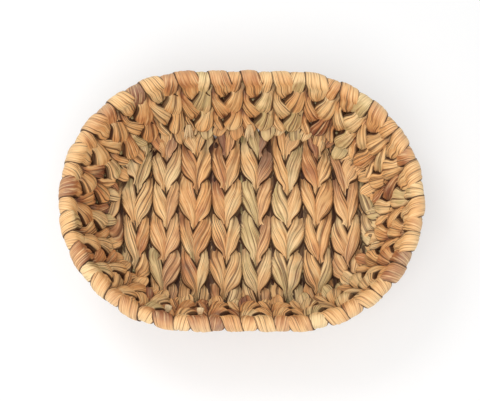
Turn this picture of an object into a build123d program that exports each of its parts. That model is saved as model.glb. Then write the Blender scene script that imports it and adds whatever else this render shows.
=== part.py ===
from build123d import *
import math
import os

# Woven basket: folded plant strips twined round a frame of welded wire.
# Millimetres, +Z up, +X along the length, origin at the middle of the underside.

# Frame
side_half = 32.7  # half of the straight part of each long side
base_radius = 64.5  # end arcs of the base hoop, to the middle of the wire
foot_step = 6.0  # foot hoop outside the base hoop
wall_flare = 15.7  # rim hoop outside the foot hoop
wall_rise = 43.8  # rim hoop above the foot hoop
wire_d = 2.5  # hoops and lengthwise wires
rib_d = 2.0  # ribs and uprights
rib_bend = 6.0  # bend of a rib from the base into the wall
rib_tip = 1.0  # ribs and uprights end this far past the outer hoops
upright_angle = 32.5  # uprights of an end wall, either side of the length
weld_sink = 0.3  # depth of the saddle where two wires are welded
base_wire_count = 4

# Twined strips
side_twines = 3  # in the base and in each wall, from the middle rib to a side rib
base_end_twines = 6  # in the base, from a side rib to the end
wall_end_twines = (7, 8, 7)  # in an end wall, between ribs and uprights
strand_tail = 4.0  # cut end of a strip past its last wire
standing_flat = 0.35  # worn flat on the underside

# Clearances
wrap_gap = 0.3  # strip to the wire it passes
half_gap = 0.2  # between the two halves of one twine
twine_gap = 0.3  # between neighbouring twines, and from a twine to a rib
foot_gap = 0.3  # wall twine ends above the woven base
bundle_gap = 8.0  # wires nearer than this along a twine are wrapped together

# Wall and wires
wire_r = wire_d / 2
rib_r = rib_d / 2
foot_radius = base_radius + foot_step
rim_radius = foot_radius + wall_flare
upper_radius = rim_radius - wall_flare / 4
lower_radius = foot_radius + wall_flare / 4
wall_lean = math.atan2(wall_flare, wall_rise)
wall_slant = math.hypot(wall_flare, wall_rise)
weld_offset = wire_r + rib_r - weld_sink
posts = [-90, -upright_angle, upright_angle, 90]


def strip_fit(stretch, count):
    """Thickest round strip for that many twines side by side in a clear stretch."""
    return (stretch - count * half_gap - (count + 1) * twine_gap) / (2 * count)


side_fit = strip_fit(side_half - rib_d, side_twines)
base_end_fit = strip_fit(base_radius - rib_r - wire_r, base_end_twines)
wall_arcs = [math.radians(b - a) * lower_radius for a, b in zip(posts, posts[1:])]
wall_fits = [strip_fit(arc - rib_d, count) for arc, count in zip(wall_arcs, wall_end_twines)]

# Strips and levels
strand_d = min(side_fit, base_end_fit, *wall_fits)
strand_r = strand_d / 2
swing = (strand_d + half_gap) / 2
beside_rib = rib_r + twine_gap + strand_r + swing
wrap_radius = wire_r + wrap_gap + strand_r
mat_half = wrap_radius + strand_r
base_level = mat_half - standing_flat
mat_top = base_level + mat_half
foot_level = mat_top + foot_gap + strand_tail * math.cos(wall_lean) + mat_half * math.sin(wall_lean)
rim_level = foot_level + wall_rise

# A twist is drawn as straight runs, eight to the turn, joined by bends.
eighth = math.tan(math.pi / 8)
bend_share = 0.48


def evenly(first, last, count):
    """That many places, evenly spaced from first to last."""
    return [first + (last - first) * i / (count - 1) for i in range(count)]


def rod(path, radius):
    """Round wire or strip along a path."""
    return sweep(Plane(origin=path @ 0, z_dir=path % 0) * Circle(radius), path=path)


def bent_path(points):
    """Straight runs through the points, with bends that use most of the shorter run."""
    points = [Vector(*point) for point in points]
    radii = []
    for before, corner, after in zip(points, points[1:], points[2:]):
        turn = math.radians((corner - before).get_angle(after - corner))
        shorter = min((corner - before).length, (after - corner).length)
        radii.append(bend_share * shorter / math.tan(turn / 2))
    return FilletPolyline(*points, radius=radii)


# Frame of welded wire


def hoop(radius, level):
    """Closed wire with two straight sides and two half-circle ends."""
    outline = Pos(0, 0, level) * SlotCenterToCenter(2 * side_half, 2 * radius)
    return rod(outline.wire(), wire_r)


def on_wall(along, across, inward):
    """Point of the wall from the rim down, as seen on the +X end arc's own centre."""
    out = rim_radius - along * math.sin(wall_lean) - inward * math.cos(wall_lean)
    up = rim_level - along * math.cos(wall_lean) + inward * math.sin(wall_lean)
    return (out, across, up)


base_hoop = hoop(base_radius, base_level)
foot_hoop = hoop(foot_radius, foot_level)
mid_hoop = hoop((foot_radius + rim_radius) / 2, (foot_level + rim_level) / 2)
rim_hoop = hoop(rim_radius, rim_level)
wall_hoops = [foot_hoop, mid_hoop, rim_hoop]

wire_step = 2 * base_radius / (base_wire_count + 1)
wire_places = [wire_step * (i + 1) - base_radius for i in range(base_wire_count)]


def base_wire(y):
    """Lengthwise wire, coped to the inside of the base hoop at both ends."""
    reach = side_half + math.sqrt(base_radius**2 - y**2)
    return Pos(0, y, base_level) * Rot(0, 90, 0) * Cylinder(wire_r, 2 * reach) - base_hoop


base_wires = [base_wire(y) for y in wire_places]


def cross_rib(x):
    """U-shaped wire under the base and up both long sides, saddled on every wire it meets."""
    top_out, _, top_up = on_wall(-rib_tip, 0, -weld_offset)
    low_up = base_level - weld_offset
    low_out = top_out - (top_up - low_up) * math.tan(wall_lean)
    corners = [(x, -top_out, top_up), (x, -low_out, low_up), (x, low_out, low_up), (x, top_out, top_up)]
    path = FilletPolyline(*corners, radius=rib_bend)
    return rod(path, rib_r) - [base_hoop, *base_wires, *wall_hoops]


def upright(angle, end_turn):
    """Straight wire outside the hoops of one end wall."""
    path = Line(on_wall(-rib_tip, 0, -weld_offset), on_wall(wall_slant + rib_tip, 0, -weld_offset))
    return place_on_end(rod(path, rib_r), angle, end_turn) - wall_hoops


def place_on_end(shape, angle, end_turn):
    """Move a shape drawn on the end arc's own centre to its angle on the right or left end."""
    return Rot(0, 0, end_turn) * Pos(side_half, 0, 0) * Rot(0, 0, angle) * shape


def place_on_side(shape, x, side_turn):
    """Move a shape drawn on the end arc's own centre to its place on the back or front."""
    return Rot(0, 0, side_turn) * Pos(x, 0, 0) * Rot(0, 0, 90) * shape


# Twines: one strip folded in half round the first wire, the halves twisting between the next ones


def half_twine(crossings, swings, hand, face):
    """Corners of one half, from the fold to the cut end, as (along, across, out)."""
    points = [(crossings[0][0] - wrap_radius, 0, face * wrap_radius)]
    for (_, leave), (arrive, _), reach in zip(crossings, crossings[1:], swings):
        step = (arrive - leave) / 8
        across = hand * face * reach
        out = face * wrap_radius
        points += [
            (leave + step, across * eighth, out),
            (leave + 3 * step, across, out * eighth),
            (leave + 5 * step, across, -out * eighth),
            (leave + 7 * step, across * eighth, -out),
        ]
        face = -face
    points.append((crossings[-1][1] + strand_tail, 0, face * wrap_radius))
    return points


def twine(crossings, swings, hand, put):
    """Both halves as one bent strip; put turns (along, across, out) into a place."""
    upper = half_twine(crossings, swings, hand, 1)
    lower = half_twine(crossings, swings, hand, -1)
    return rod(bent_path([put(*point) for point in upper[::-1] + lower]), strand_r)


# Woven base

beside_hoop = wire_r + twine_gap + strand_r + swing
side_places = evenly(beside_rib, side_half - beside_rib, side_twines)
end_places = evenly(beside_rib, base_radius - beside_hoop, base_end_twines)
half_places = side_places + [side_half + place for place in end_places]


def base_crossings(x):
    """Stretches of y where a twine at x passes wires, from the front to the back."""
    past_side = max(0, x - side_half)
    hoop_y = math.sqrt(base_radius**2 - past_side**2)
    slanted = (swing + strand_r) * past_side / hoop_y + wire_r * (base_radius / hoop_y - 1)
    near = hoop_y - slanted
    far = hoop_y + slanted
    inner = [y for y in wire_places if abs(y) < near - bundle_gap]
    outer = [abs(y) for y in wire_places if y not in inner]
    near = min([near] + outer)
    return [(-far, -near)] + [(y, y) for y in inner] + [(near, far)]


def base_twine(x, back):
    """Twine across the right half of the base, folded at the front, or at the back with the other twist."""
    crossings = base_crossings(x)
    swings = [swing] * (len(crossings) - 1)
    way = -1 if back else 1
    strip = twine(crossings, swings, 1, lambda along, across, out: (across, way * along, out))
    ground = Pos(0, 0, -base_level - mat_half) * Box(4 * beside_rib, 4 * base_radius, 2 * mat_half)
    return Pos(x, 0, base_level) * (strip - ground)


right_base = [base_twine(x, index % 2 == 0) for index, x in enumerate(half_places)]
left_base = [mirror(shape, about=Plane.YZ) for shape in right_base]

# Woven wall

wall_crossings = [(along, along) for along in (0, wall_slant / 2, wall_slant)]
upper_swing = swing + beside_rib * (upper_radius / lower_radius - 1)


def wall_twines(upper, lower):
    """A twine of each twist, drawn on the end arc's own centre."""
    return [twine(wall_crossings, [upper, lower], hand, on_wall) for hand in (-1, 1)]


end_shapes = wall_twines(upper_swing, swing)
side_shapes = wall_twines(swing, swing)


def end_angles():
    """Places round an end wall, in the three stretches between ribs and uprights."""
    room = math.degrees(beside_rib / lower_radius)
    stretches = zip(posts, posts[1:], wall_end_twines)
    return [angle for a, b, count in stretches for angle in evenly(a + room, b - room, count)]


def in_pairs(shapes):
    """Neighbouring twines, two at a time."""
    return [shapes[i : i + 2] for i in range(0, len(shapes), 2)]


def end_wall(end_turn):
    """Pairs of twines round one end, anticlockwise."""
    places = enumerate(end_angles())
    return in_pairs([place_on_end(end_shapes[i % 2], angle, end_turn) for i, angle in places])


def side_wall(side_turn):
    """Pairs of twines along one long side, anticlockwise."""
    places = enumerate(side_places[::-1] + [-x for x in side_places])
    return in_pairs([place_on_side(side_shapes[i % 2], x, side_turn) for i, x in places])


# Write one file for each named part

os.makedirs("parts", exist_ok=True)


def save(name, *solids):
    """Write the solids of one part."""
    shape = solids[0] if len(solids) == 1 else Compound(children=list(solids))
    export_step(shape, f"parts/{name}.step")


save("base_hoop", base_hoop)
save("foot_hoop", foot_hoop)
save("mid_hoop", mid_hoop)
save("rim_hoop", rim_hoop)
for number, wire in enumerate(base_wires, 1):
    save(f"base_wire_{number}", wire)
for name, x in (("left", -side_half), ("middle", 0), ("right", side_half)):
    save(f"cross_rib_{name}", cross_rib(x))
for name, end_turn in (("right", 0), ("left", 180)):
    save(f"{name}_uprights", *[upright(angle, end_turn) for angle in (-upright_angle, upright_angle)])
for number, strip in enumerate(left_base[::-1] + right_base, 1):
    save(f"base_twine_{number:02d}", strip)
walls = {"right": end_wall(0), "back": side_wall(0), "left": end_wall(180), "front": side_wall(180)}
for name, wall in walls.items():
    for number, pair in enumerate(wall, 1):
        save(f"{name}_wall_twines_{number:02d}", *pair)
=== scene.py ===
# %% [markdown]
# # An oval basket of twined plant strips
# The real basket is woven from dried water hyacinth on a frame of welded wire. The solids already hold
# every wire, and every strip as a plain round rod. We could paint those rods, but a flat, creased strip
# has another outline. So this lesson makes a new mesh for each strip, in the place of its rod, and keeps
# the wires.

# %% Start with the solids
import math
from dataclasses import dataclass, replace
from typing import Callable

import bmesh
import bpy
import numpy as np
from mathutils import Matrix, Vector


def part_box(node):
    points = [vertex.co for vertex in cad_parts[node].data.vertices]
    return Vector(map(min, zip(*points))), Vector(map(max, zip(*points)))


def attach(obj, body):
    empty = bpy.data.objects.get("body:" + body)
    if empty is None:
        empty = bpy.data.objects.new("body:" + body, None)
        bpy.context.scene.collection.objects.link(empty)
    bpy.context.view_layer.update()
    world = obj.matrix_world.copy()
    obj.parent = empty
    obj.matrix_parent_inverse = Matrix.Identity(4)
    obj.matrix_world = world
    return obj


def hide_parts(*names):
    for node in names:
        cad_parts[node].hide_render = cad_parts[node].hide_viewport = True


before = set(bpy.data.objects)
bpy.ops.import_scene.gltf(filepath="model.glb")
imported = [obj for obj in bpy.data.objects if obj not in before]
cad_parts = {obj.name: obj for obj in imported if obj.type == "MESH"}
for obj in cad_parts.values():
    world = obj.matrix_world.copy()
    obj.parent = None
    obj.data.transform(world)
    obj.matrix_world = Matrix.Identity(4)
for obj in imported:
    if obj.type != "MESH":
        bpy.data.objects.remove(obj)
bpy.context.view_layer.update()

print("solids loaded:", len(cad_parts), "nodes")

# %% [markdown]
# ## Sizes of the frame
# The basket is woven on welded wire hoops, and those are already in the scene as solids.
# We could type their sizes again, but measuring the loaded hoops keeps the weave on the wires
# even when a hoop is changed later. A hoop here is two straight sides and two half circles.

# %% Measure the hoops
MM = 0.001
BASE_WIRES = 4


def measure(hoop):
    """Half of a straight side, end radius and level of a hoop's middle line, and the radius of its wire."""
    low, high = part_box(hoop)
    thick = (high.z - low.z) / 2
    return high.x - high.y, high.y - thick, (high.z + low.z) / 2, thick


side_half, rim_radius, rim_level, wire_r = measure("rim_hoop")
_, foot_radius, foot_level, _ = measure("foot_hoop")
_, base_radius, base_level, _ = measure("base_hoop")
flare = rim_radius - foot_radius
rise = rim_level - foot_level
lean = math.atan2(flare, rise)
slant = math.hypot(flare, rise)
wire_boxes = [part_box(f"base_wire_{number}") for number in range(1, BASE_WIRES + 1)]
wire_ys = [(low.y + high.y) / 2 for low, high in wire_boxes]
print("rim", round(rim_radius / MM, 1), "mm end radius, wall", round(slant / MM, 1), "mm along the slope")

# %% [markdown]
# ## One twined strip
# Every strip is folded in half over its first wire, and the two halves swap sides at each next wire.
# So a half runs like a flat ribbon wound round the line of the twine, half a turn from wire to wire.
# What shows of it between two dives is called a grain here. A curve with a bevel would keep one section
# all along, so instead we work out a row of rings, each with its own width, thickness and tilt.
# We begin with the outline of a grain: a slender leaf on the base, and a round petal on the wall.

# %% Outlines of the grains
def smooth(x):
    """Eases from 0 to 1."""
    x = np.clip(x, 0, 1)
    return x * x * (3 - 2 * x)


def bell(x, middle, reach):
    """1 in the middle, falling to 0 on both sides."""
    return np.exp(-(((x - middle) / reach) ** 2))


def pinch(roll, place, before, after):
    """1 at one place of a turn, falling to 0 before and after it."""
    off = (roll - place + math.pi) % (2 * math.pi) - math.pi
    return bell(off, 0, np.where(off < 0, before, after))


def leaf(roll):
    """Width and sideways shift of a base grain as it rolls: broad at first, pointed where it ends."""
    belly = 1.06 + 0.08 * np.cos(roll + 1.2)
    tip = pinch(roll, 1.25, 0.5, 0.65)
    return belly - 0.66 * tip, 0.07 * tip


def petal(roll):
    """The same for a wall grain: a little narrower where it comes up, broad and round where it ends."""
    belly = 1.0 + 0.12 * np.cos(roll - 0.6)
    neck = pinch(roll, -1.3, 0.5, 0.5)
    end = pinch(roll, 1.6, 0.35, 0.35)
    return belly - (0.2 * neck + 0.4 * end), 0


whole_turn = np.linspace(-math.pi, math.pi, 99)
for grain in (leaf, petal):
    print(grain.__name__, "is at most", round(float(grain(whole_turn)[0].max()), 2), "strips wide")

# %% [markdown]
# ## Three ways to twist
# The base has long, nearly straight grains. On the wall, a twine with a wide fold on the rim stands beside
# one with a narrow fold, and they twist opposite ways. We could hand all these numbers over in each call,
# but one record for each way keeps them together and gives every number a name.

# %% Styles of the weave
@dataclass
class Style:
    """How a strip is shaped. Shares are of the width of the strip."""

    grain: Callable  # outline of a grain
    hand: int  # which way it twists, 1 or -1
    overlap: float  # width of the strip, against its column
    swing: float  # share that a half swings to either side
    straight: float  # how it runs from side to side, from 0 for a soft wave to 1 for a zigzag
    lag: float  # how much later it rolls over than it swings, in radians
    past: float  # how far it turns on after the last wire, in radians
    creases: int  # creases along each half
    taper: float  # length in which a cut end narrows
    droop: tuple  # how far the two cut ends bend up or inward
    stand: float  # how far it stands up or inward between the wires
    fold_wide: float  # width of the fold, against the strip
    fold_lean: float  # share that each side of the fold lies off the middle
    fold_turn: float  # how much sooner the halves turn away from the fold, in radians
    fold_rise: float  # how far the fold stands off its wire


BASE_STYLE = Style(
    grain=leaf, hand=1, overlap=1.02, swing=0.27, straight=0.90, lag=0.65, past=0.0, creases=6,
    taper=20 * MM, droop=(0, 0), stand=0.0,
    fold_wide=0.62, fold_lean=0.12, fold_turn=0.0, fold_rise=0.0,
)
WIDE_FOLD = Style(
    grain=petal, hand=-1, overlap=1.1, swing=0.34, straight=0.30, lag=0.45, past=0.9, creases=4,
    taper=4.5 * MM, droop=(3 * MM, 9.5 * MM), stand=-0.4 * MM,
    fold_wide=1.12, fold_lean=0.2, fold_turn=-0.5, fold_rise=0.8 * MM,
)
NARROW_FOLD = replace(
    WIDE_FOLD, hand=1, overlap=1.2, swing=0.14, stand=0.9 * MM,
    fold_wide=0.95, fold_lean=0.1, fold_turn=0.5, fold_rise=0.0,
)
print("three styles: base, wide fold and narrow fold")

# %% [markdown]
# ## Section of a strip
# A dried strip is a flat oval with soft grooves, and its skin is often folded over lengthwise, which leaves
# a small step. We could draw one outline and scale it, but then every ring would be the same. A formula with
# powers of sine and cosine gives each ring its own size and roundness. Grooves and edges also get a value for
# the material, which paints shade into them.

# %% Points round a strip
AROUND = 40  # points round a ring
SIDE_POWER = 0.85  # powers of cosine and sine: 1 is a plain oval, and less is squarer
FACE_POWER = 0.68
FOLD_POWER = 0.34  # how much squarer the face is at the fold
CREASE_DEPTHS = (0.05, 0.3)  # shares of the thickness
CREASE_REACHES = (0.05, 0.1)  # shares of half the width, as the next five
CREASE_PLACES = (-0.85, 0.85)
PLEAT_PLACES = (-0.6, 0.6)
PLEAT_REACH = 0.1
EDGE_SHADE_START = 0.8  # where the painted shade along the edge starts
EDGE_SHADE_REACH = 0.14
PLEAT = 0.35 * MM  # step where the skin is folded over


def section(width, thick, cup, near_fold, creases, rng):
    """Points round each ring: across the strip, out of its face, and the painted shade of its grooves and
    edges there.
    """
    angle = np.linspace(0, 2 * np.pi, AROUND, endpoint=False)
    near_fold = near_fold[:, None]
    flat = np.sign(np.cos(angle)) * np.abs(np.cos(angle)) ** SIDE_POWER
    puff = np.sign(np.sin(angle)) * np.abs(np.sin(angle)) ** (FACE_POWER - FOLD_POWER * near_fold)
    groove = np.zeros(AROUND)
    for _ in range(creases):
        depth = rng.uniform(*CREASE_DEPTHS)
        reach = rng.uniform(*CREASE_REACHES)
        groove += depth * bell(flat, rng.uniform(*CREASE_PLACES), reach)
    step = np.tanh((flat - rng.uniform(*PLEAT_PLACES)) / PLEAT_REACH) * np.sin(angle) * PLEAT
    step = step * (1 - 0.7 * near_fold)
    across = width[:, None] / 2 * flat
    out = thick[:, None] / 2 * puff * (1 - groove) + step - cup[:, None] * across**2
    # Painted shade: the grooves and the edges of a strip are darkened in its colour.
    edge = smooth((np.abs(flat) - EDGE_SHADE_START) / EDGE_SHADE_REACH)
    crease_and_edge_shade = groove * 1.5 * (1 - 0.75 * near_fold) + edge
    return across, out, np.clip(crease_and_edge_shade, 0, 1)


print("each ring has", AROUND, "points")

# %% [markdown]
# ## From the fold to a cut end
# A half is followed along its twine. At every ring we know how far it has turned, so we know whether it lies
# on top or below, how far it swings sideways and how wide its grain is there. An array modifier could repeat
# one grain, but real grains differ, so small random values at each wire change them. Near the fold all of
# this is faded out, and the strip lies flat round its first wire.

# %% One half of a strip
RING_STEP = 1.4 * MM  # from ring to ring
THICK = 4.3 * MM  # thickness of a strip
WRAP_GAP = 0.3 * MM  # strip to wire
CURL = 0.05 / MM  # how much a strip is cupped across its width
TILT = 0.35  # how far it leans as it rolls over, in radians
FOLD_SHARE = 0.55  # share of the way to the second wire in which the fold opens into the twist
LEAST_END = 3 * MM  # least length in which a cut end turns on
FOLD_THIN = 0.22  # share of its thickness that a strip loses at the fold
END_THICK = 0.55  # share of its thickness that a cut end keeps
ON_EDGE_THICK = 0.3  # share that it gains where it stands on edge
TOP_POWER = 1.7  # how soon a half dives from the top, and how soon it comes up from below
UNDER_POWER = 1.1
TURNS = (-0.25, 0.25)  # random values at each wire: turned on by, in radians
WIDTHS = (0.94, 1.12)  # times its width
THICKNESSES = (0.9, 1.1)  # times its thickness
LIFTS = (-0.1, 0.6)  # millimetres further from the wire
SHIFTS = (-0.6, 0.6)  # millimetres sideways


@dataclass
class Twine:
    """A strip that is still to be shaped."""

    crossings: list  # where it meets the wires, from the fold to the last one
    column: Callable  # width of its column at each place along it
    style: Style
    tails: tuple  # lengths of the two cut ends past the last wire
    stand: float  # how far it stands up or inward between the wires
    lap: int = 1  # 1 where each grain lies over the next one, -1 where it lies over the one before
    slanted: float = 1.0  # how much longer the fold and the ends are where the wire runs at a slant


@dataclass
class Half:
    """Rings of one half with the painted shade of their creases and edges, distances from the fold, and its
    first section.
    """

    rings: np.ndarray
    creases: np.ndarray
    far: np.ndarray
    across: np.ndarray
    out: np.ndarray
    radius: float
    middle: float


def half_strip(twine, face, tail, droop, rng):
    """Half that leaves the fold on top, where face is 1, or below, where it is -1."""
    style = twine.style
    crossings = twine.crossings
    start, last = crossings[0], crossings[-1]
    reach = last + tail * twine.slanted
    along = np.linspace(start, reach, int((reach - start) / RING_STEP))
    turn = np.interp(along, crossings, [count * math.pi for count in range(len(crossings))])
    turn = turn + style.past * smooth((along - last) / max(tail, LEAST_END))
    near_fold = 1 - smooth((along - start) / (FOLD_SHARE * (crossings[1] - start)))
    free = 1 - near_fold
    to_end = np.sqrt(np.clip((reach - along) / style.taper, 0.02, 1))
    wide = style.overlap * twine.column(along)

    def vary(low, high):
        """Random value at each wire, blended between the wires."""
        return np.interp(along, crossings, rng.uniform(low, high, len(crossings)))

    phase = turn + (style.fold_turn + vary(*TURNS)) * free + (0 if face > 0 else math.pi)
    roll = phase - twine.lap * style.lag * free
    facing = np.cos(roll)
    broad, shift = style.grain(twine.lap * roll)
    width = wide * vary(*WIDTHS) * broad
    width = width * (1 + (style.fold_wide - 1) * near_fold) * to_end
    thick = THICK * vary(*THICKNESSES) * (1 - FOLD_THIN * near_fold)
    thick = thick * (END_THICK + (1 - END_THICK) * to_end)
    thick = thick * (1 + ON_EDGE_THICK * (1 - np.abs(facing)))
    radius = wire_r + thick / 2 + WRAP_GAP + vary(*LIFTS) * MM * free + style.fold_rise * near_fold
    sway = np.arcsin(style.straight * np.sin(phase)) / math.asin(style.straight)
    aside = style.swing * sway + twine.lap * shift + face * style.fold_lean * near_fold
    middle = style.hand * wide * aside + vary(*SHIFTS) * MM * free
    depth = np.where(facing > 0, np.abs(facing) ** TOP_POWER, -np.abs(facing) ** UNDER_POWER)
    height = radius * depth
    height = height + droop * smooth((along - last) / tail) + twine.stand * free
    tilt = TILT * np.sin(roll)
    cup = CURL * face * facing * (1 - 0.85 * near_fold)
    across, out, creases = section(width, thick, cup, near_fold, style.creases, rng)
    side = np.stack([style.hand * np.cos(tilt), -np.sin(tilt)], 1)[:, None, :]
    outward = np.stack([style.hand * np.sin(tilt), np.cos(tilt)], 1)[:, None, :] * face
    spots = np.stack([middle, height], 1)[:, None, :]
    spots = spots + across[:, :, None] * side + out[:, :, None] * outward
    rings = np.concatenate([np.repeat(along[:, None, None], AROUND, 1), spots], 2)
    return Half(rings, creases, along - start, across[0], out[0], radius[0], middle[0])


print("rings every", round(RING_STEP / MM, 1), "mm on strips", round(THICK / MM, 1), "mm thick")

# %% [markdown]
# ## Round the first wire
# The two halves are one strip, so a few more rings lead from one to the other round the first wire.
# Two meshes that only touch there would show a gap. Each ring is a blend of the two first sections instead,
# turned a little further, and the rings of the whole strip then run from one cut end to the other.

# %% The whole strip
FOLD_RINGS = 9


def blend(first, second, share):
    """Value between two values."""
    return first + (second - first) * share


def twine_rings(twine, rng):
    """Rings of one strip as (along, across, out), the painted shade of their creases and edges, and the
    distance from the fold.
    """
    ends = zip((1, -1), twine.tails, twine.style.droop)
    upper, lower = [half_strip(twine, face, tail, droop, rng) for face, tail, droop in ends]
    rings = []
    creases = []
    for share in np.linspace(0, 1, FOLD_RINGS + 2)[1:-1]:
        bend = math.pi * share
        radius = blend(upper.radius, lower.radius, share) + blend(upper.out, lower.out, share)
        along = twine.crossings[0] - radius * math.sin(bend) * twine.slanted
        across = twine.style.hand * blend(upper.across, lower.across, share)
        across = across + blend(upper.middle, lower.middle, share)
        rings.append(np.stack([along, across, radius * math.cos(bend)], 1))
        creases.append(blend(upper.creases[0], lower.creases[0], share))
    quarter = math.pi * upper.radius / 2
    round_fold = np.linspace(-quarter, quarter, FOLD_RINGS + 2)[1:-1]
    far = np.concatenate([-upper.far[::-1] - quarter, round_fold, lower.far + quarter])
    rings = np.concatenate([upper.rings[::-1], rings, lower.rings])
    creases = np.concatenate([upper.creases[::-1], creases, lower.creases])
    return rings, creases, far


print("a fold has", FOLD_RINGS, "rings")

# %% [markdown]
# ## Shader sums
# A material is a tree of nodes, and one sum in it can take five of them. Placing each by hand hides the sum.
# Here a small class wraps a socket, so that a sum is written as in Python and adds its own nodes, and
# one method adds any other node.

# %% Shader helper
class Value:
    """A socket that can be added, taken away and multiplied like a number."""

    def __init__(self, finish, socket):
        self.finish = finish
        self.socket = socket

    def math(self, operation, other):
        """Math node of this value and another value or number."""
        return self.finish.add("ShaderNodeMath", 0, {"operation": operation}, {0: self, 1: other})

    def __add__(self, other):
        return self.math("ADD", other)

    def __sub__(self, other):
        return self.math("SUBTRACT", other)

    def __mul__(self, other):
        return self.math("MULTIPLY", other)

    __radd__ = __add__
    __rmul__ = __mul__

    def __rsub__(self, other):
        return (self * -1) + other

    def ease(self, low, high):
        """0 below low, 1 above high, smooth between."""
        settings = {"interpolation_type": "SMOOTHSTEP"}
        sockets = {"Value": self, "From Min": low, "From Max": high}
        return self.finish.add("ShaderNodeMapRange", "Result", settings, sockets)


class Finish:
    """A material and the nodes that feed its shader."""

    def __init__(self, name):
        self.material = bpy.data.materials.new(name)
        self.material.use_nodes = True
        self.tree = self.material.node_tree
        self.shader = self.tree.nodes["Principled BSDF"]

    def put(self, socket, item):
        """Links a value to a socket, or sets a plain number or colour."""
        if isinstance(item, Value):
            self.tree.links.new(item.socket, socket)
        else:
            socket.default_value = item

    def add(self, kind, output, settings=None, sockets=None):
        """Any node: its type, the output wanted, its settings and what goes into its sockets."""
        made = self.tree.nodes.new(kind)
        for name, setting in (settings or {}).items():
            if name == "stops":
                set_stops(made.color_ramp.elements, setting)
            else:
                setattr(made, name, setting)
        for name, item in (sockets or {}).items():
            self.put(made.inputs[name], item)
        return Value(self, made.outputs[output])

    def mix(self, share, first, second):
        """Colour between two colours, by the numbers of the colour sockets of a Mix node."""
        return self.add("ShaderNodeMix", 2, {"data_type": "RGBA"}, {0: share, 6: first, 7: second})

    def feed(self, sockets):
        """Sets or links the sockets of the shader."""
        for name, item in sockets.items():
            self.put(self.shader.inputs[name], item)


def set_stops(elements, stops):
    """Places and colours of a colour ramp."""
    while len(elements) < len(stops):
        elements.new(0.5)
    for element, (place, colour) in zip(elements, stops):
        element.position = place
        element.color = (*colour, 1)


print("shader helper ready")

# %% [markdown]
# ## Dried hyacinth
# Dried water hyacinth is golden brown with fine darker fibres along each strip. A flat picture would not
# follow the twist, so the fibres come from noise that is stretched along the strip's own UV map. A value
# stored with each strip picks its colour from straw through tan to a red brown, a second one bleaches folds
# and cut ends, and a third one paints shade into creases, edges and seams. Bright glints along the fibres
# are a painted highlight.

# %% Dried hyacinth
LAYERS = ("tone", "pale", "crease")  # values stored with each strip
TONES = [
    (0.0, (0.66, 0.49, 0.22)),
    (0.12, (0.93, 0.66, 0.33)),
    (0.32, (0.92, 0.55, 0.23)),
    (0.52, (0.82, 0.42, 0.155)),
    (0.72, (0.60, 0.25, 0.09)),
    (0.9, (0.34, 0.12, 0.05)),
    (1.0, (0.25, 0.09, 0.055)),
]
BLEACHED = (0.84, 0.66, 0.40, 1)
# colour of the painted highlight: bright glints along the fibres
PAINTED_GLINT = (1.0, 0.72, 0.38, 1)
STREAK = (0.31, 0.105, 0.04, 1)
LINE = (0.11, 0.04, 0.018, 1)
# colour of the painted shade in grooves, along edges and in the seams between columns
CREASE_SHADE_COLOUR = (0.05, 0.016, 0.006, 1)


def hyacinth_finish():
    """Dried plant strip with fibres along its length."""
    finish = Finish("dried_hyacinth")
    uv = finish.add("ShaderNodeUVMap", "UV", {"uv_map": "UVMap"})
    around = finish.add("ShaderNodeSeparateXYZ", "X", sockets={"Vector": uv})
    along = finish.add("ShaderNodeSeparateXYZ", "Y", sockets={"Vector": uv})
    stored = [finish.add("ShaderNodeAttribute", "Fac", {"attribute_name": name}) for name in LAYERS]
    tone, pale, crease = stored

    def fibres(across_scale, along_scale, detail):
        """Noise stretched along the strip."""
        stretched = {"X": around * across_scale, "Y": along * along_scale}
        place = finish.add("ShaderNodeCombineXYZ", "Vector", sockets=stretched)
        sockets = {"Vector": place, "Scale": 1.0, "Detail": detail, "Roughness": 0.6}
        return finish.add("ShaderNodeTexNoise", "Fac", sockets=sockets)

    patch = fibres(2.0, 0.8, 2.0)
    broad = fibres(9.0, 0.35, 2.0)
    lines = fibres(34.0, 0.12, 1.0)
    fine = fibres(46.0, 0.5, 3.0)
    shade = tone + (patch - 0.5) * 0.65 + (broad - 0.5) * 0.6
    colour = finish.add("ShaderNodeValToRGB", "Color", {"stops": TONES}, {"Fac": shade})
    colour = finish.mix(pale, colour, BLEACHED)
    # Painted highlight: bright glints along the fibres.
    colour = finish.mix((1 - fine).ease(0.5, 0.66) * 0.6, colour, PAINTED_GLINT)
    colour = finish.mix(fine.ease(0.48, 0.7) * (0.78 - pale * 0.25), colour, STREAK)
    line = lines.ease(0.58, 0.63) * (0.75 - pale * 0.6)
    colour = finish.mix(line, colour, LINE)
    # Painted shade in grooves, along edges and in the seams between columns.
    colour = finish.mix(crease * (0.55 + broad * 0.8), colour, CREASE_SHADE_COLOUR)
    height = broad * 0.5 + fine * 0.35 - line * 0.6
    relief = {"Height": height, "Strength": 0.55, "Distance": 0.6 * MM}
    bump = finish.add("ShaderNodeBump", "Normal", sockets=relief)
    finish.feed({"Base Color": colour, "Roughness": 0.5 + fine * 0.2, "Normal": bump})
    finish.feed({"Specular IOR Level": 0.35})
    return finish


hyacinth = hyacinth_finish()
print("hyacinth ready with", len(hyacinth.tree.nodes), "nodes")

# %% [markdown]
# ## Lacquered wire
# The wires are steel in a straw-coloured lacquer that is thin and darker in places. Only short stretches of
# them show. They are solids that fit already, so they keep their shape and only get this finish. The noise
# for colour, gloss and a slight bump reads Object coordinates, so it needs no UV map.

# %% Lacquered wire
LACQUER = (0.40, 0.31, 0.13, 1)
THIN_LACQUER = (0.25, 0.18, 0.08, 1)


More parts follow.
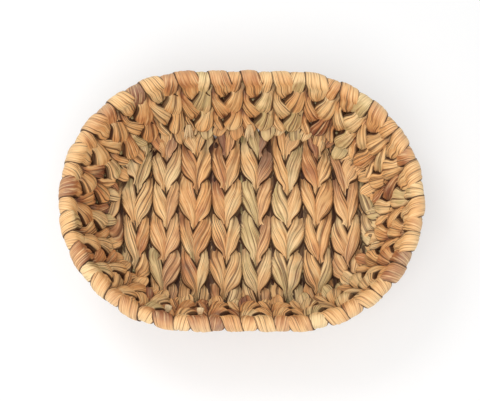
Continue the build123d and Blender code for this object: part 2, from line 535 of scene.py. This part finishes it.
def wire_finish():
    """Straw-coloured lacquer on steel wire, thin and darker in patches."""
    finish = Finish("lacquered_wire")
    place = finish.add("ShaderNodeTexCoord", "Object")
    sockets = {"Vector": place, "Scale": 150.0, "Detail": 3.0, "Roughness": 0.6}
    patch = finish.add("ShaderNodeTexNoise", "Fac", sockets=sockets)
    colour = finish.mix(patch.ease(0.4, 0.65), LACQUER, THIN_LACQUER)
    relief = {"Height": patch, "Strength": 0.25, "Distance": 0.2 * MM}
    bump = finish.add("ShaderNodeBump", "Normal", sockets=relief)
    finish.feed({"Base Color": colour, "Roughness": 0.28 + patch * 0.3, "Normal": bump})
    return finish


lacquer = wire_finish()
wires = [solid for name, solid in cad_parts.items() if "twine" not in name]
for solid in wires:
    solid.data.materials.clear()
    solid.data.materials.append(lacquer.material)
print("lacquer on", len(wires), "wire nodes")

# %% [markdown]
# ## Wrapping a grid into a strip
# A grid made with UVs already knows "along" and "around", so the fibres of the material can follow the
# strip. Listing points and faces by hand would take more code and give no UVs. We move the grid's points onto
# the rings, weld the seam and close the two cut ends.

# %% Grid into strip
UV_LENGTH = 10 * MM  # length of strip to one unit of its UV map
UV_SHIFTS = 200  # sideways shifts to choose from, so that strips do not share their fibres
WELD = 1e-7


def start_mesh():
    """Empty mesh with the layers that the strip material reads."""
    bm = bmesh.new()
    layers = {"uv": bm.loops.layers.uv.new("UVMap")}
    for name in LAYERS:
        layers[name] = bm.verts.layers.float.new(name)
    return bm, layers


def add_strip(bm, layers, rings, far, shift, **values):
    """Wraps a grid onto the rings; values holds tone, pale and the painted shade of creases, edges and seams,
    for each ring or each of its points.
    """
    rows, around = rings.shape[:2]
    made = bmesh.ops.create_grid(bm, x_segments=around, y_segments=rows - 1, size=1, calc_uvs=True)
    points = made["verts"]
    spread = {}
    for name, value in values.items():
        spread[name] = np.broadcast_to(value.reshape(rows, -1), (rows, around))
    for i, point in enumerate(points):
        row, column = divmod(i, around + 1)
        column = column % around
        point.co = rings[row, column]
        for name, value in spread.items():
            point[layers[name]] = value[row, column]
    for face in {face for point in points for face in point.link_faces}:
        face.smooth = True
        for loop in face.loops:
            spot = loop[layers["uv"]].uv
            spot.x += shift
            spot.y = blend(far[0], far[-1], spot.y) / UV_LENGTH
    bmesh.ops.remove_doubles(bm, verts=points, dist=WELD)
    cut_ends = [edge for edge in bm.edges if edge.is_boundary]
    bmesh.ops.holes_fill(bm, edges=cut_ends, sides=around)


def finish_mesh(bm, name, solid):
    """Turns the mesh into a piece that stands for the named solid."""
    bmesh.ops.recalc_face_normals(bm, faces=bm.faces)
    mesh = bpy.data.meshes.new(name)
    bm.to_mesh(mesh)
    bm.free()
    mesh.materials.append(hyacinth.material)
    piece = bpy.data.objects.new(name, mesh)
    bpy.context.scene.collection.objects.link(piece)
    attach(piece, "root")
    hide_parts(solid)


print("layers on each strip:", ", ".join(LAYERS))

# %% [markdown]
# ## Loose ends
# Here and there a real strip ends in view: two frayed ends come over the foot wire at the back, and two blunt
# ones stick out of the wall. Without them the weave looks too perfect. Particle hair would be too thin, so a
# loose end is a short strip along a curve with one bend, with the same section and grid as the long strips.

# %% Loose ends
SLIVER_RINGS = 16
SLIVER_THICK = 2 * MM
SLIVER_CREASES = 3
FRAYED = (6, 10)  # base twines with a frayed end
FRAY_SPREADS = (-3.5 * MM, -1.8 * MM, -0.3 * MM, 1.5 * MM, 3.2 * MM)


def hoop_edge(x):
    """Half width of the base hoop at x."""
    past_side = np.clip(np.abs(x) - side_half, 0, base_radius - 1.5 * MM)
    return np.sqrt(base_radius**2 - past_side**2)


def add_sliver(bm, layers, corners, side, broad, point, rng):
    """Pale loose end of a strip from the first corner to the last, bent towards the middle one.

    side is the direction of its width, and point the share of its length in which it narrows.
    """
    share = np.linspace(0, 1, SLIVER_RINGS)[:, None]
    first, bend, last = np.array(corners)
    middle = first * (1 - share) ** 2 + bend * 2 * share * (1 - share) + last * share**2
    along = (bend - first) * (1 - share) + (last - bend) * share
    outward = np.cross(side, along)
    outward = outward / np.linalg.norm(outward, axis=1, keepdims=True)
    share = share[:, 0]
    narrow = np.sqrt(np.clip((1 - share) / point, 0.01, 1)) * (0.6 + 0.4 * smooth(share / 0.5))
    thick = min(SLIVER_THICK, 0.7 * broad) * narrow
    none = np.zeros(SLIVER_RINGS)
    across, out, creases = section(broad * narrow, thick, none, none, SLIVER_CREASES, rng)
    rings = middle[:, None, :] + across[:, :, None] * np.array(side) + out[:, :, None] * outward[:, None, :]
    tone = np.full(SLIVER_RINGS, rng.uniform(0.05, 0.35))
    pale = 0.5 + 0.4 * share
    far = share * np.linalg.norm(last - first)
    shift = rng.integers(UV_SHIFTS)
    # Painted shade in the grooves and edges, at half strength.
    add_strip(bm, layers, rings, far, shift, tone=tone, pale=pale, crease=0.5 * creases)


def add_fray(bm, layers, x, rng):
    """Frayed end of a strip that comes over the foot wire and down onto the edge of the base."""
    edge = hoop_edge(x)
    base_top = base_level + wire_r + THICK
    for spread in FRAY_SPREADS:
        high = (x + 0.3 * spread, edge + 1.5 * MM, foot_level + 2.5 * MM)
        bend = (x + 0.6 * spread, edge - 2.5 * MM, foot_level - 0.5 * MM)
        low = (x + spread, edge - rng.uniform(5, 9) * MM, base_top + 0.5 * MM)
        add_sliver(bm, layers, (high, bend, low), (1.0, 0, 0), rng.uniform(1.6, 2.6) * MM, 0.6, rng)


print("frayed ends on base twines", FRAYED)

# %% [markdown]
# ## The woven base
# Eighteen twines lie side by side across the base. Neighbours twist opposite ways and are folded at opposite
# ends, which makes the chevrons. One column could be copied, but then its grains would repeat, so each
# twine is made anew at the place of its solid, on its own wires. Columns drift sideways a little, because
# straight ones look ruled. The strips are pressed down along the seams between columns, and painted shade
# darkens them there, more on one side of a column than on the other.

# %% Places and seams
BASE_TWINES = 18
GRAIN_LENGTH = 24 * MM
LEAST_TONE = 0.12
TONE_RANGE = 0.68
TONE_SHAPE = (1.4, 1.6)  # of a beta distribution, which has most strips near the middle
GRAIN_SPREAD = 0.24  # how much the grains of one strip differ in tone
DRIFTS = ((0.8 * MM, 190, 90), (0.6 * MM, 430, -60))  # how far, and how fast it changes with x and with y
SEAM_START = 0.4  # share of the column, from its middle, at which the seam starts
SEAM_REACH = 0.1
FAINT_SEAM = 0.3

twine_boxes = [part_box(f"base_twine_{number:02d}") for number in range(1, BASE_TWINES + 1)]
places = [(low.x + high.x) / 2 for low, high in twine_boxes]
gaps = [(a + b) / 2 for a, b in zip(places, places[1:])]
edges = [2 * places[0] - gaps[0], *gaps, 2 * places[-1] - gaps[-1]]


def strip_tones(rng, far):
    """Colour value along a strip, a little different on every grain."""
    grains = np.arange(far[0], far[-1], GRAIN_LENGTH)
    strip_tone = LEAST_TONE + TONE_RANGE * rng.beta(*TONE_SHAPE)
    return np.interp(far, grains, strip_tone + rng.normal(0, GRAIN_SPREAD, len(grains)))


def seam_share(across, column, way):
    """How near points are to the next column, from 0 to 1, and less on the faint side."""
    near = smooth((np.abs(across) / column - SEAM_START) / SEAM_REACH)
    return near * np.where(way * across < 0, FAINT_SEAM, 1)


def drift(x, y):
    """Places after a slow sideways drift."""
    for reach, with_x, with_y in DRIFTS:
        x = x + reach * np.sin(with_x * x + with_y * y)
    return x


print("columns", [round((right - left) / MM, 1) for left, right in zip(edges, edges[1:])], "mm wide")

# %% Woven base
NEAR_HOOP = 9 * MM  # a base wire nearer to the hoop than this is wrapped together with it
LOWER_TAIL = 8 * MM
SEAM_PRESS = 0.3  # share of its height that a strip loses at a seam
STRIP_PALE = 0.25  # how pale a strip can be all along
END_PALE = 0.6  # how much paler its cut ends are
PALE_START = 14 * MM  # from the end, where that begins
PALE_REACH = 12 * MM


def weave_base(number, left, right):
    """Base twine in the column from left to right, folded at the front where way is 1, else at the back."""
    rng = np.random.default_rng(100 + number)
    x = (left + right) / 2
    edge = hoop_edge(x)
    mirror = 1 if x > 0 else -1
    on_right = number if x > 0 else BASE_TWINES + 1 - number  # its number, or its mirror image's
    way = -1 if on_right % 2 == 0 else 1
    crossings = [-edge, *[y for y in wire_ys if abs(y) < edge - NEAR_HOOP], edge]
    slanted = math.hypot(1, max(0, abs(x) - side_half) / edge)
    stand = BASE_STYLE.stand + rng.uniform(-0.5, 0.5) * MM
    tails = (rng.uniform(3, 6) * MM / math.sqrt(slanted), LOWER_TAIL / slanted)

    def column(along):
        """The same width all along."""
        return np.full_like(along, right - left)

    twine = Twine(crossings, column, BASE_STYLE, tails, stand, lap=-way, slanted=slanted)
    rings, creases, far = twine_rings(twine, rng)
    seam = seam_share(rings[:, :, 1], right - left, way)
    rings[:, :, 2] *= 1 - SEAM_PRESS * seam
    # Painted shade along the seams between columns.
    creases = np.maximum(creases, seam**2)
    world_x = x + mirror * rings[:, :, 1]
    world_y = way * rings[:, :, 0] * hoop_edge(world_x) / edge
    world_z = np.maximum(base_level + rings[:, :, 2], 0)
    world = np.stack([drift(world_x, world_y), world_y, world_z], 2)
    near_end = smooth((np.abs(far) - np.abs(far[-1]) + PALE_START) / PALE_REACH)
    pale = STRIP_PALE * rng.random() + END_PALE * near_end
    shift = rng.integers(UV_SHIFTS)
    tone = strip_tones(rng, far)
    bm, layers = start_mesh()
    add_strip(bm, layers, world, far, shift, tone=tone, pale=pale, crease=creases)
    if number in FRAYED:
        add_fray(bm, layers, x, rng)
    finish_mesh(bm, f"woven_base_{number:02d}", f"base_twine_{number:02d}")


for number, (left, right) in enumerate(zip(edges, edges[1:]), 1):
    weave_base(number, left, right)
print("base woven with", BASE_TWINES, "twines")

# %% [markdown]
# ## A strip of the wall
# The wall twines start folded over the rim and end at the foot. We shape each one flat, as (along the slope,
# across, inward), then lean it with the wall and turn it to its place on the rim. Bending a flat mat with a
# modifier would stretch the strips. The outer side of each fold is bleached. Painted light makes the walls a
# little lighter than the base, and painted shade darkens just inside the top of each fold and the places
# where strips dive between their neighbours.

# %% Wall strips
FOLD_PALES = (0.4, 0.95)  # how pale a fold is, by chance
FOLD_PALE_AT = 8 * MM  # from the top of the fold, outward
FOLD_PALE_REACH = 8 * MM
WALL_PAINTED_LIGHT = -0.08  # painted light: lighter than the base, against the shade inside the walls
FOLD_TOP_SHADE = 0.18  # painted shade just inside the top of the fold
FOLD_TOP_SHADE_AT = -2 * MM
FOLD_TOP_SHADE_REACH = 7 * MM
DIVE_SHADE = 0.45  # painted shade where a strip dives between its neighbours
DIVE_DEPTH = 4 * MM
FOLD_END = 10 * MM  # from here on a dive gets painted shade
FOLD_FADE = 6 * MM
NUB_BELOW_RIM = 12 * MM
NUB_INWARD = (4 * MM, 7 * MM, 9 * MM)
NUB_WIDTH = 5 * MM


@dataclass
class Column:
    """Place of a wall twine: its direction, the x that it is turned about, and its width at rim and foot."""

    angle: float
    centre_x: float
    rim_width: float
    foot_width: float


def on_wall(rings, column):
    """Places of points given as (along, across, inward) from the rim of a column."""
    along, across, inward = rings[:, :, 0], rings[:, :, 1], rings[:, :, 2]
    out = rim_radius - along * math.sin(lean) - inward * math.cos(lean)
    up = rim_level - along * math.cos(lean) + inward * math.sin(lean)
    cosine = math.cos(column.angle)
    sine = math.sin(column.angle)
    return np.stack([column.centre_x + out * cosine - across * sine, out * sine + across * cosine, up], 2)


def add_wall_strip(bm, layers, column, style, outer_tail, rng):
    """One strip from the rim to the foot."""
    stand = style.stand + rng.uniform(-0.3, 0.3) * MM
    tails = (rng.uniform(4, 7) * MM, outer_tail + rng.uniform(0, 1) * MM)

    def width(along):
        """Narrower from the rim to the foot."""
        return blend(column.rim_width, column.foot_width, np.clip(along / slant, 0, 1))

    rings, creases, far = twine_rings(Twine([0, slant / 2, slant], width, style, tails, stand), rng)
    pale = rng.uniform(*FOLD_PALES) * bell(far, FOLD_PALE_AT, FOLD_PALE_REACH)
    # The tone carries painted light on the walls and painted shade just inside the top of each fold.
    tone = strip_tones(rng, far) + WALL_PAINTED_LIGHT + FOLD_TOP_SHADE * bell(far, FOLD_TOP_SHADE_AT, FOLD_TOP_SHADE_REACH)
    # Painted shade where a strip dives between its neighbours.
    dive = 1 - smooth(np.abs(rings[:, :, 2]) / DIVE_DEPTH)
    off_fold = smooth((np.abs(far) - FOLD_END) / FOLD_FADE)
    tone = tone[:, None] + DIVE_SHADE * dive * off_fold[:, None]
    shift = rng.integers(UV_SHIFTS)
    add_strip(bm, layers, on_wall(rings, column), far, shift, tone=tone, pale=pale, crease=creases)


def add_nub(bm, layers, column, rng):
    """Blunt cut end of a strip that sticks out of the inside of the wall."""
    spots = np.array([[(NUB_BELOW_RIM, 0, inward)] for inward in NUB_INWARD])
    corners = on_wall(spots, column)[:, 0, :]
    side = (-math.sin(column.angle), math.cos(column.angle), 0.0)
    add_sliver(bm, layers, corners, side, NUB_WIDTH, 0.15, rng)


print("wall leans", round(math.degrees(lean), 1), "degrees outward")

# %% [markdown]
# ## The woven wall
# A wide fold and a narrow fold follow each other all round the rim. On the round ends the twines fan out, so
# a strip is wider near the rim than at the foot. The solids hold the strips in pairs, so each piece has two.
# The outer cut ends run on below the foot wire and bend inward, further on the round ends, so that they
# cover most of the gap to the base. A single pair copied round would be quicker, but would repeat.

# %% Woven wall
END_TWINES = 22
SIDE_TWINES = 6
END_TAIL = 14 * MM
SIDE_TAIL = 11 * MM
NUBS = {("left", 10), ("front", 0)}  # walls and pairs with a blunt end, pairs counted from 0


def weave_wall(wall, columns, outer_tail):
    """Pairs of twines along one wall."""
    for pair in range(len(columns) // 2):
        bm, layers = start_mesh()
        for i, style in enumerate((WIDE_FOLD, NARROW_FOLD)):
            rng = np.random.default_rng([len(wall), pair, i, ord(wall[0])])
            add_wall_strip(bm, layers, columns[2 * pair + i], style, outer_tail, rng)
        if (wall, pair) in NUBS:
            add_nub(bm, layers, columns[2 * pair], rng)
        finish_mesh(bm, f"woven_{wall}_{pair + 1:02d}", f"{wall}_wall_twines_{pair + 1:02d}")


end_step = math.pi / END_TWINES
end_angles = [(i + 0.5) * end_step - math.pi / 2 for i in range(END_TWINES)]
end_widths = (rim_radius * end_step, foot_radius * end_step)
for wall, sign, facing in (("right", 1, 0), ("left", -1, math.pi)):
    columns = [Column(angle + facing, sign * side_half, *end_widths) for angle in end_angles]
    weave_wall(wall, columns, END_TAIL)
side_step = 2 * side_half / SIDE_TWINES
side_xs = [side_step * ((SIDE_TWINES - 1) / 2 - i) for i in range(SIDE_TWINES)]
for wall, sign in (("back", 1), ("front", -1)):
    columns = [Column(sign * math.pi / 2, sign * x, side_step, side_step) for x in side_xs]
    weave_wall(wall, columns, SIDE_TAIL)
print("walls woven with", 2 * (END_TWINES + SIDE_TWINES), "twines")

# %% [markdown]
# ## Floor
# The basket stands on a pale floor, nearly white in the light. More light would whiten the floor but also
# bleach the basket, so the floor gives a share of its own white, and only to rays that come from the camera,
# a glossy surface or glass. Under the basket it gives none, so the shadow between the strips stays dark.

# %% Floor
FLOOR_HALF = 3
FLOOR_COLOUR = (0.93, 0.93, 0.93, 1)
OWN_WHITE = 0.38


def floor_finish():
    """Matt pale floor with a share of its own white where nothing stands on it."""
    finish = Finish("pale_floor")
    finish.feed({"Base Color": FLOOR_COLOUR, "Roughness": 0.9, "Specular IOR Level": 0.0})
    seen = finish.add("ShaderNodeLightPath", "Is Camera Ray")
    for kind in ("Is Glossy Ray", "Is Transmission Ray"):
        seen = seen.math("MAXIMUM", finish.add("ShaderNodeLightPath", kind))
    covered_x = side_half + base_radius + 8 * MM
    covered_y = base_radius + 10 * MM
    place = finish.add("ShaderNodeTexCoord", "Object")
    scaled = {"Vector": place, "Scale": (1 / covered_x, 1 / covered_y, 1)}
    place = finish.add("ShaderNodeMapping", "Vector", sockets=scaled)
    from_middle = finish.add("ShaderNodeVectorMath", "Value", {"operation": "LENGTH"}, {0: place})
    share = seen * from_middle.ease(0.85, 1.1) * OWN_WHITE
    lit = Value(finish, finish.shader.outputs[0])
    white = finish.add("ShaderNodeEmission", 0, sockets={"Color": (1, 1, 1, 1), "Strength": 1.0})
    surface = finish.add("ShaderNodeMixShader", 0, sockets={0: share, 1: lit, 2: white})
    finish.put(finish.tree.nodes["Material Output"].inputs["Surface"], surface)
    return finish


floor_mesh = bpy.data.meshes.new("floor")
bm = bmesh.new()
bmesh.ops.create_grid(bm, x_segments=1, y_segments=1, size=FLOOR_HALF)
bm.to_mesh(floor_mesh)
bm.free()
floor_mesh.materials.append(floor_finish().material)
floor = bpy.data.objects.new("floor", floor_mesh)
bpy.context.scene.collection.objects.link(floor)
print("floor", 2 * FLOOR_HALF, "m wide")

# %% [markdown]
# ## Light
# The basket stands in soft light. One small lamp would cut hard shadows into the weave, so there are two
# area lamps, a large one in front and a smaller one at the back on the left, and a white world fills the
# rest. All are kept so low that a colour looks about as it is written.

# %% Light
WORLD_LEVEL = 0.67


def area_light(name, place, size, power):
    """Square soft light that looks at the middle of the underside."""
    lamp = bpy.data.lights.new(name, "AREA")
    lamp.size = size
    lamp.energy = power
    light = bpy.data.objects.new(name, lamp)
    light.location = place
    light.rotation_euler = (-Vector(place)).to_track_quat("-Z", "Y").to_euler()
    bpy.context.scene.collection.objects.link(light)


area_light("front", (-0.15, -0.55, 0.95), size=0.6, power=5.1)
area_light("window", (-0.4, 0.4, 0.9), size=0.35, power=2.4)

world = bpy.data.worlds.new("studio")
bpy.context.scene.world = world
world.use_nodes = True
background = world.node_tree.nodes["Background"]
background.inputs["Color"].default_value = (1, 1, 1, 1)
background.inputs["Strength"].default_value = WORLD_LEVEL
print("two lamps and a white world")

# %% [markdown]
# ## Camera
# The view is from the front and steeply from above, so the rim shows as a wide oval. A short lens close by
# would spread the near edge, so a long lens looks from some distance. Its aim is moved a little off the
# middle of the rim.

# %% Camera
ELEVATION = math.radians(75)
DISTANCE = 0.9
LENS = 99.5
SENSOR = 36
AIM_SHIFT = Vector((-1.0 * MM, -1.7 * MM, 0))

camera_data = bpy.data.cameras.new("camera")
camera_data.lens = LENS
camera_data.sensor_width = SENSOR
camera = bpy.data.objects.new("camera", camera_data)
bpy.context.scene.collection.objects.link(camera)
rim_centre = Vector((0, 0, rim_level))
camera.location = rim_centre + DISTANCE * Vector((0, -math.cos(ELEVATION), math.sin(ELEVATION)))
camera.rotation_euler = (rim_centre + AIM_SHIFT - camera.location).to_track_quat("-Z", "Y").to_euler()
bpy.context.scene.camera = camera
bpy.context.scene.view_settings.view_transform = "Standard"
print("camera", DISTANCE, "m from the rim")
